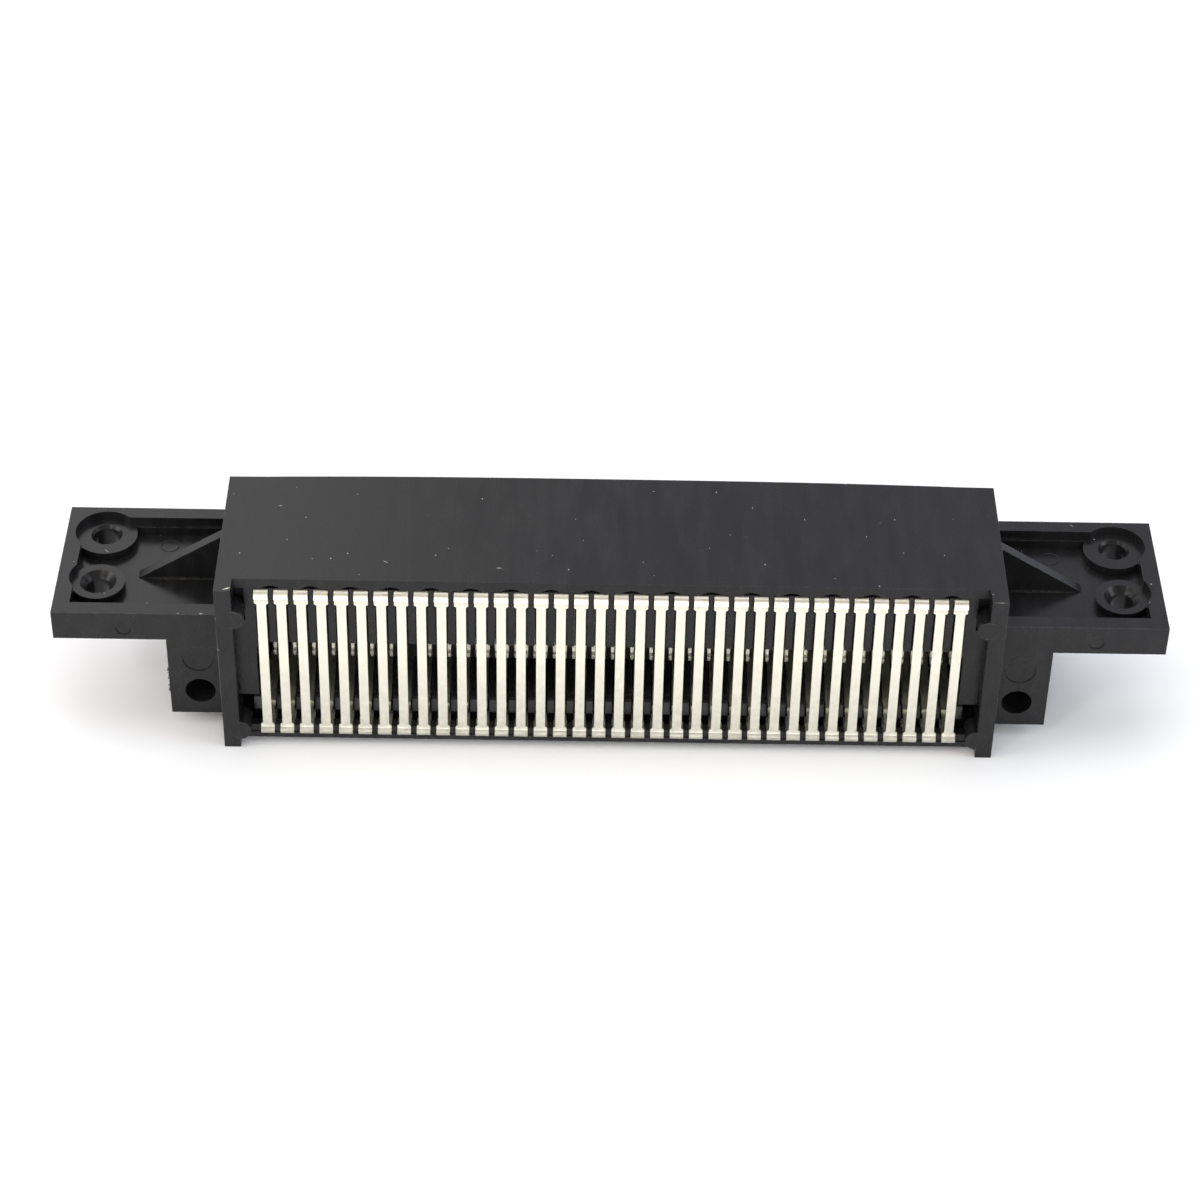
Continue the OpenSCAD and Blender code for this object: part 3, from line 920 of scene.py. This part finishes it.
@dataclass(frozen=True)
class Flash:
    """Ragged fin of plastic squeezed out along an upright edge of a block, in millimetres."""

    edge: tuple[float, float] = (-56.45, -8.5)
    low: float = 5.3
    high: float = 9.4
    proud: float = 0.26
    least: float = 0.01
    ragged: int = 3
    thick: float = 0.09
    inset: float = 0.01
    sunk: float = 0.02
    step: float = 0.12
    seed: int = 5

    def build(self, finish: bpy.types.Material) -> bpy.types.Object:
        """Builds the fin.

        Args:
            finish: its material.

        Returns:
            The fin, as one piece.
        """
        chance = random.Random(self.seed)
        work = bmesh.new()
        rows = []
        count = int((self.high - self.low) / self.step)
        x, y = self.edge[0], self.edge[1] + self.inset
        for index in range(count + 1):
            height = self.low + index * self.step
            width = self.proud * chance.random() ** self.ragged + self.least
            fin = ((x + self.sunk, y), (x - width, y + self.thick / 2), (x + self.sunk, y + self.thick))
            rows.append([work.verts.new((px * MM, py * MM, height * MM)) for px, py in fin])
        for near, far in zip(rows, rows[1:]):
            for a, b in ((0, 1), (1, 2), (2, 0)):
                work.faces.new((near[a], near[b], far[b], far[a]))
        work.faces.new(rows[0])
        work.faces.new(reversed(rows[-1]))
        bmesh.ops.recalc_face_normals(work, faces=work.faces)
        mesh = mesh_from(work, "flash")
        mesh.materials.append(finish)
        return new_piece("flash", mesh)


@dataclass
class StripRow:
    """A row of equal strips, each bent from one flat blank with square shears and rounded shoulders.

    Lengths are in millimetres where MM isn't named.

    Attributes:
        sizes: the part's main sizes.
        name: the piece's name.
        slot: the record's material slot for the row; not used.
        shift: how far the row lies off the pockets' middles.
        broken: number of the strip whose right strand is gone, or 0.
        step: spacing of the blank's cross rows along its straights.
        probe: spacing of the places where its width is looked up.
        least_jump: least change of width that makes a shoulder.
        shoulder: length of a shoulder.
        arc_steps: number of spans in a bend.
        shear_r: width of the bevel along the sheared edges.
        jitter: how far a strip may lie off its place.
        twist: how far a strip may be turned.
        seed: seed of both.
    """

    sizes: ConnectorSizes
    name: str
    slot: Slot
    shift: float = 0.0
    broken: int = 0
    step: float = 0.9
    probe: float = 0.01
    least_jump: float = 0.04
    shoulder: float = 0.16
    arc_steps: int = 8
    shear_r: float = 0.035
    shear_angle: float = math.radians(50)
    sharp_angle: float = math.radians(35)
    merge_distance: float = 0.001 * MM
    jitter: float = 0.015
    twist: float = math.radians(0.5)
    seed: int = 7

    def folds(self) -> tuple[Bend, ...]:
        """Gives the corners of the strip's middle line, from its upper end to its lower end."""
        raise NotImplementedError

    def edges(self, place: Vector) -> Edges:
        """Gives the sideways places of the edges of the strip's two strands.

        Args:
            place: a point of the middle line, as (depth, height).

        Returns:
            Outer and inner edge of the left strand, then inner and outer edge of the right one. The inner
            edges are both 0 where the strands are one.
        """
        raise NotImplementedError

    def anchor(self) -> float:
        """Gives the depth of the upright stretch, which each strip is placed by."""
        raise NotImplementedError

    def middle_line(self) -> list[Vector]:
        """Rounds the corners of the fold.

        Returns:
            Points of the middle line, as (depth, height) in millimetres.
        """
        bends = self.folds()
        corners = [Vector((bend.depth, bend.height)) for bend in bends]
        line = [corners[0]]
        for before, corner, after, bend in zip(corners, corners[1:], corners[2:], bends[1:]):
            way_in, way_out = (before - corner).normalized(), (after - corner).normalized()
            half = way_in.angle(way_out) / 2
            reach = bend.radius / math.tan(half)
            first, last = corner + way_in * reach, corner + way_out * reach
            centre = corner + (way_in + way_out).normalized() * bend.radius / math.sin(half)
            start, stop = first - centre, last - centre
            between = (start.slerp(stop, index / self.arc_steps) for index in range(1, self.arc_steps))
            line.extend(centre + spoke for spoke in (start, *between, stop))
        return line + [corners[-1]]

    def stations(self) -> list[tuple[Vector, Edges]]:
        """Works out where the blank has its cross rows.

        Returns:
            For each row its point, as (depth, height), and its edges.
        """
        line = self.middle_line()
        ends = [0.0]
        for a, b in zip(line, line[1:]):
            ends.append(ends[-1] + (b - a).length)

        def at(length: float) -> Vector:
            """Finds a point of the line.

            Args:
                length: its distance along the line.

            Returns:
                The point.
            """
            index = next(i for i, end in enumerate(ends[1:]) if length <= end + TINY)
            way = (line[index + 1] - line[index]).normalized()
            return line[index] + way * (length - ends[index])

        def edges_at(length: float) -> Edges:
            """Gives the edges at a length along the line."""
            return self.edges(at(length))

        total, probe = ends[-1], self.probe
        jumps = []
        for index in range(1, int(total / probe)):
            before, after = edges_at((index - 1) * probe), edges_at(index * probe)
            if max(abs(a - b) for a, b in zip(before, after)) > self.least_jump:
                jumps.append(index * probe)
        half = self.shoulder / 2
        marks = {length for length in ends if all(abs(length - jump) > half for jump in jumps)}
        for index in range(1, int(total / self.step)):
            length = index * self.step
            if all(abs(length - other) > self.step / 2 for other in marks | set(jumps)):
                marks.add(length)
        rows = [(length, edges_at(length)) for length in marks]
        for jump in jumps:
            rows.append((jump - half, edges_at(jump - 2 * probe)))
            rows.append((jump + half, edges_at(jump + probe)))
        return [(at(length), edges) for length, edges in sorted(rows)]

    def strip(self, whole: bool) -> bpy.types.Object:
        """Bends one strip, at the middle of the row, with its anchor at the origin.

        Args:
            whole: whether the right strand is whole.

        Returns:
            An object with the strip's mesh, in metres.
        """
        work = bmesh.new()
        rows = []
        for place, edges in self.stations():
            depth, height = (place.x - self.anchor()) * MM, place.y * MM
            rows.append(([work.verts.new((x * MM, depth, height)) for x in edges], edges))
        for (near, near_edges), (far, far_edges) in zip(rows, rows[1:]):
            work.faces.new((near[0], near[1], far[1], far[0]))
            parted = far_edges[2] > far_edges[1] or near_edges[2] > near_edges[1]
            if whole or not parted:
                work.faces.new((near[2], near[3], far[3], far[2]))
        loose = [vert for vert in work.verts if not vert.link_faces]
        bmesh.ops.delete(work, geom=loose, context="VERTS")
        bmesh.ops.remove_doubles(work, verts=work.verts, dist=self.merge_distance)
        bmesh.ops.recalc_face_normals(work, faces=work.faces)
        source = linked(self.name + ("_whole" if whole else "_broken"), mesh_from(work, self.name))
        wall = source.modifiers.new("Metal", "SOLIDIFY")
        wall.thickness, wall.offset, wall.use_even_offset = self.sizes.strip_t * MM, 0, True
        shear = source.modifiers.new("Shears", "BEVEL")
        shear.width, shear.segments, shear.limit_method = self.shear_r * MM, 1, "ANGLE"
        shear.angle_limit, shear.use_clamp_overlap = self.shear_angle, True
        solid = baked(source, source.name)
        solid.shade_smooth()
        solid.set_sharp_from_angle(angle=self.sharp_angle)
        return linked(solid.name, solid)

    def row_tree(self) -> Group:
        """Builds the Geometry Nodes tree that sets the strips out along the row.

        Returns:
            The tree, and the identifier of each of its inputs by name.
        """
        tree, names = node_group(self.name + "_row", {
            "Strip": "NodeSocketObject", "Broken Strip": "NodeSocketObject", "Count": "NodeSocketInt",
            "Pitch": "NodeSocketFloat", "First": "NodeSocketVector", "Broken Index": "NodeSocketInt",
            "Jitter": "NodeSocketFloat", "Twist": "NodeSocketFloat", "Seed": "NodeSocketInt",
            "Finish": "NodeSocketMaterial",
        })
        new, join = tree.nodes.new, tree.links.new
        given = new("NodeGroupInput")
        offset, line = new("ShaderNodeCombineXYZ"), new("GeometryNodeMeshLine")
        join(given.outputs["Pitch"], offset.inputs["X"])
        join(given.outputs["Count"], line.inputs["Count"])
        join(given.outputs["First"], line.inputs["Start Location"])
        join(offset.outputs[0], line.inputs["Offset"])

        def random_about_zero(size: str, seed_step: int) -> bpy.types.NodeSocket:
            """Adds a random number.

            Args:
                size: the named input that it goes up to, and down to with a minus.
                seed_step: number added to the seed.

            Returns:
                The number.
            """
            number, low, seed = new("FunctionNodeRandomValue"), new("ShaderNodeMath"), new("ShaderNodeMath")
            low.operation, seed.operation = "MULTIPLY", "ADD"
            low.inputs[1].default_value, seed.inputs[1].default_value = -1, seed_step
            join(given.outputs[size], low.inputs[0])
            join(given.outputs["Seed"], seed.inputs[0])
            join(low.outputs[0], number.inputs[2])
            join(given.outputs[size], number.inputs[3])
            join(seed.outputs[0], number.inputs["Seed"])
            return number.outputs[1]

        nudge, moved = new("ShaderNodeCombineXYZ"), new("GeometryNodeSetPosition")
        join(random_about_zero("Jitter", 0), nudge.inputs["X"])
        join(line.outputs[0], moved.inputs["Geometry"])
        join(nudge.outputs[0], moved.inputs["Offset"])
        turn = new("ShaderNodeCombineXYZ")
        join(random_about_zero("Twist", 1), turn.inputs["Z"])
        index, same = new("GeometryNodeInputIndex"), new("FunctionNodeCompare")
        same.data_type, same.operation = "INT", "EQUAL"
        join(index.outputs[0], same.inputs["A"])
        join(given.outputs["Broken Index"], same.inputs["B"])
        other = new("FunctionNodeBooleanMath")
        other.operation = "NOT"
        join(same.outputs[0], other.inputs[0])
        both = new("GeometryNodeJoinGeometry")
        for label, chosen in (("Strip", other.outputs[0]), ("Broken Strip", same.outputs[0])):
            source, placed = new("GeometryNodeObjectInfo"), new("GeometryNodeInstanceOnPoints")
            join(given.outputs[label], source.inputs["Object"])
            join(moved.outputs[0], placed.inputs["Points"])
            join(chosen, placed.inputs["Selection"])
            join(source.outputs["Geometry"], placed.inputs["Instance"])
            join(turn.outputs[0], placed.inputs["Rotation"])
            join(placed.outputs[0], both.inputs[0])
        end_group(tree, both.outputs[0], given.outputs["Finish"])
        return tree, names

    def build(self, finish: bpy.types.Material, nodes: list[str]) -> bpy.types.Object:
        """Builds the row.

        Args:
            finish: its material.
            nodes: the frame's nodes that it replaces.

        Returns:
            The row, as one piece.
        """
        whole, broken = self.strip(True), self.strip(False)
        holder = linked(self.name + "_holder", bpy.data.meshes.new(self.name + "_holder"))
        count, pitch = self.sizes.positions, self.sizes.pitch
        first = (self.shift - (count - 1) * pitch / 2, self.anchor() - self.sizes.base_depth / 2, 0)
        values = {
            "Strip": whole, "Broken Strip": broken, "Count": count, "Pitch": pitch * MM,
            "First": [part * MM for part in first], "Broken Index": self.broken - 1,
            "Jitter": self.jitter * MM, "Twist": self.twist, "Seed": self.seed, "Finish": finish,
        }
        mesh = laid_out(holder, self.row_tree(), values, self.name)
        for source in (whole, broken):
            bpy.data.objects.remove(source)
        piece = new_piece(self.name, mesh)
        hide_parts(*nodes)
        return piece


@dataclass
class OuterStrips(StripRow):
    """The outer row: T head, straight back, T foot and an arm at each end."""

    head_w: float = 1.78
    head_h: float = 1.57
    back_w: float = 1.18
    foot_w: float = 1.72
    foot_h: float = 1.4
    head_end_y: float = 3.5

    def folds(self) -> tuple[Bend, ...]:
        """Gives the corners of the strip's middle line.

        Returns:
            The corners, from the upper end to the lower end.
        """
        s = self.sizes
        half = s.strip_t / 2
        return (
            Bend(s.card_bow_y + s.tip_l, s.card_z + s.bow + s.tip_h, 0),
            Bend(s.card_bow_y, s.card_z + s.bow, s.arm_bend_r),
            Bend(s.stop_y, s.head_top - half, s.arm_bend_r),
            Bend(s.head_y + half, s.head_top - half, s.bend_r),
            Bend(s.foot_y + half, s.foot_bottom + half, s.bend_r),
            Bend(s.plate_y, s.plate_top + s.lay_gap + s.strip_t, s.arm_bend_r),
            Bend(s.board_bow_y, s.board_z - s.bow, s.arm_bend_r),
            Bend(s.board_bow_y + s.tip_l, s.board_z - s.bow - s.tip_h, 0),
        )

    def edges(self, place: Vector) -> Edges:
        """Gives the sideways places of the edges of the strip's two strands.

        Args:
            place: a point of the middle line, as (depth, height).

        Returns:
            The four edges, in the base class's order.
        """
        width = self.back_w
        if place.x > self.head_end_y:
            width = self.sizes.arm_w
        elif place.y > self.sizes.head_top - self.head_h:
            width = self.head_w
        elif place.y < self.sizes.foot_bottom + self.foot_h:
            width = self.foot_w
        return (-width / 2, 0.0, 0.0, width / 2)

    def anchor(self) -> float:
        """Gives the middle depth of the straight backs."""
        return (self.sizes.head_y + self.sizes.foot_y + self.sizes.strip_t) / 2


@dataclass
class InnerStrips(StripRow):
    """The inner row: an arm above, a back round the middle wall, and two prongs below."""

    width: float = 1.86
    prong_w: float = 0.5
    prong_end_w: float = 0.33
    fork_h: float = 2.6
    prong_lean: float = 0.5
    prong_rise: float = 0.6

    def folds(self) -> tuple[Bend, ...]:
        """Gives the corners of the strip's middle line.

        Returns:
            The corners, from the upper end to the lower end.
        """
        s = self.sizes
        half = s.strip_t / 2
        return (
            Bend(s.card_bow_y + s.tip_l, s.card_z - s.bow - s.tip_h, 0),
            Bend(s.card_bow_y, s.card_z - s.bow, s.arm_bend_r),
            Bend(s.inner_y + s.inner_seat_l, s.floor_z + s.lay_gap + half, s.arm_bend_r),
            Bend(s.inner_y + half, s.floor_z + s.lay_gap + half, s.bend_r),
            Bend(s.inner_y + half, s.board_top + self.fork_h, s.bend_r),
            Bend(s.inner_y + half - self.prong_lean, s.board_top + self.prong_rise, s.bend_r),
            Bend(s.board_bow_y, s.board_z + s.bow, s.arm_bend_r),
            Bend(s.board_bow_y + s.tip_l, s.board_z + s.bow + s.tip_h, 0),
        )

    def edges(self, place: Vector) -> Edges:
        """Gives the sideways places of the edges of the strip's two strands.

        Args:
            place: a point of the middle line, as (depth, height).

        Returns:
            The four edges, in the base class's order.
        """
        s = self.sizes
        if place.y > s.roof_z and place.x > s.inner_y + 2 * s.strip_t + s.lay_gap:
            return (-s.arm_w / 2, 0.0, 0.0, s.arm_w / 2)
        rise = min(max(place.y - s.board_top, 0.0), self.fork_h)
        if rise >= self.fork_h:
            return (-self.width / 2, 0.0, 0.0, self.width / 2)
        middle = (self.width - self.prong_w) / 2
        half = (self.prong_end_w + (self.prong_w - self.prong_end_w) * rise / self.fork_h) / 2
        return (-middle - half, half - middle, middle - half, middle + half)

    def anchor(self) -> float:
        """Gives the middle depth of the backs."""
        return self.sizes.inner_y + self.sizes.strip_t / 2


@dataclass(frozen=True)
class PhotoCamera:
    """The camera that took the photograph, fitted to it with the part's own sizes."""

    position: Triple = (-3.98 * MM, -325.75 * MM, 287.05 * MM)
    tilt_down: float = math.radians(39.902)
    turn: float = math.radians(-0.467)
    roll: float = math.radians(1.165)
    lens_mm: float = 98.736
    sensor_mm: float = 36.0
    clip: tuple[float, float] = (10 * MM, 5.0)

    def place(self) -> None:
        """Makes the camera and gives it to the scene."""
        data = bpy.data.cameras.new("photo_camera")
        data.lens, data.sensor_width = self.lens_mm, self.sensor_mm
        data.clip_start, data.clip_end = self.clip
        camera = linked("photo_camera", data)
        turned = (
            Matrix.Rotation(self.turn, 4, "Z")
            @ Matrix.Rotation(math.pi / 2 - self.tilt_down, 4, "X")
            @ Matrix.Rotation(self.roll, 4, "Z")
        )
        camera.matrix_world = Matrix.Translation(self.position) @ turned
        bpy.context.scene.camera = camera


@dataclass(frozen=True)
class SoftBox:
    """A square softbox light, aimed at the part."""

    name: str
    position: Triple
    side: float
    power: float
    tint: Triple

    def place(self) -> None:
        """Makes the light."""
        data = bpy.data.lights.new(self.name, "AREA")
        data.size, data.energy, data.color = self.side, self.power, self.tint
        lamp = linked(self.name, data)
        lamp.location = self.position
        lamp.rotation_mode = "QUATERNION"
        lamp.rotation_quaternion = (-Vector(self.position)).to_track_quat("-Z", "Y")


@dataclass(frozen=True)
class Studio:
    """White floor, white surroundings and soft light, warmer from the left and cooler from the right."""

    sheet: PlainFinish = PlainFinish("white_sheet", (0.96, 0.965, 0.975, 1), 0.85)
    floor_side: float = 6.0
    left: Colour = (0.98, 0.95, 0.93, 1)
    right: Colour = (0.8, 0.83, 0.93, 1)
    room: Colour = (0.34, 0.32, 0.28, 1)
    side_fade: tuple[float, float] = (-0.3, 0.3)
    room_fade_front: tuple[float, float] = (-0.1, -0.4)
    room_fade_up: tuple[float, float] = (0.35, 0.55)
    lights: tuple[SoftBox, ...] = (
        SoftBox("softbox_left", (-0.7, -0.1, 0.35), 0.4, 1.6, (1.0, 0.96, 0.9)),
        SoftBox("softbox_right", (0.7, -0.15, 0.35), 0.4, 1.4, (0.86, 0.93, 1.0)),
        SoftBox("softbox_back", (-0.38, 0.7, 0.6), 0.6, 1.2, (1.0, 0.97, 0.95)),
        SoftBox("softbox_top", (0.0, 0.12, 0.9), 0.5, 1.3, (1.0, 0.99, 0.98)),
        SoftBox("softbox_front", (0.05, -0.9, 0.27), 0.8, 4.6, (1.0, 1.0, 1.0)),
        SoftBox("lamp", (-0.45, -0.52, 0.7), 0.12, 0.8, (1.0, 0.97, 0.94)),
    )

    def place(self) -> None:
        """Makes the floor, the lights and the surroundings."""
        work = bmesh.new()
        bmesh.ops.create_grid(work, x_segments=1, y_segments=1, size=self.floor_side / 2)
        mesh = mesh_from(work, "floor")
        mesh.materials.append(self.sheet.material())
        floor = linked("floor", mesh)
        for light in self.lights:
            light.place()
        world = bpy.data.worlds.new("white_surroundings")
        world.use_nodes = True
        self.paint_surroundings(world.node_tree)
        bpy.context.scene.world = world
        bpy.context.scene.view_settings.view_transform = "Standard"

    def paint_surroundings(self, world: bpy.types.ShaderNodeTree) -> None:
        """Makes the surroundings white, cooler on the right, with a dim room high up in front.

        Args:
            world: the world's node tree.
        """
        tree = ShaderTree(world, "Generated")
        way = tree.add("ShaderNodeSeparateXYZ", Vector=tree.place).outputs
        in_front = tree.spread(way["Y"], *self.room_fade_front, 0, 1)
        high_up = tree.spread(way["Z"], *self.room_fade_up, 0, 1)
        sides = tree.blend(tree.spread(way["X"], *self.side_fade, 0, 1), self.left, self.right)
        colour = tree.blend(tree.math("MULTIPLY", in_front, high_up), sides, self.room)
        tree.feed(tree.nodes["Background"].inputs["Color"], colour)


def corners(bounds: tuple[Vector, Vector]) -> list[list[float]]:
    """Turns a box into plain lists.

    Args:
        bounds: its lowest and highest corner.

    Returns:
        The two corners as lists of numbers.
    """
    return [[float(part) for part in corner] for corner in bounds]


def main() -> None:
    """Builds the camera, the stage and the pieces."""
    logging.basicConfig(level=logging.INFO, format="%(name)s: %(message)s")
    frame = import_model()
    PhotoCamera().place()
    Studio().place()
    sizes = ConnectorSizes()
    plastic = MouldedPlastic().material()
    dust = PlainFinish("dust", (0.6, 0.58, 0.5, 1), 0.8).material()
    moulding = Moulding(sizes).build(frame["nodes"]["housing"], plastic)
    Flash().build(plastic)
    specks = Litter("specks", (1.0, 1.0, 0.5), density=0.016, smallest=0.03, largest=0.09, seed=3)
    specks.build(moulding, dust)
    threads = Litter("threads", (6.0, 0.5, 0.5), density=0.0012, smallest=0.04, largest=0.07, seed=11)
    threads.build(moulding, dust)
    bright = TinPlate(
        "outer_tin_plate", shade=(0.85, 0.825, 0.7, 1), roughness=0.38,
        bend_height=sizes.head_top * MM, foot_shade_share=0.8,
    )
    outer = OuterStrips(sizes, "outer_strips", Slot.OUTER_STRIP)
    outer.build(bright.material(), [name for name in frame["nodes"] if name.startswith(Level.OUTER.value)])
    matt = TinPlate(
        "inner_tin_plate", shade=(0.93, 0.9, 0.8, 1), roughness=0.7, bend_height=sizes.floor_z * MM
    )
    inner = InnerStrips(sizes, "inner_strips", Slot.INNER_STRIP, shift=-0.15, broken=8, seed=19)
    inner.build(matt.material(), [name for name in frame["nodes"] if name.startswith(Level.INNER.value)])


if __name__ == "__main__":
    main()
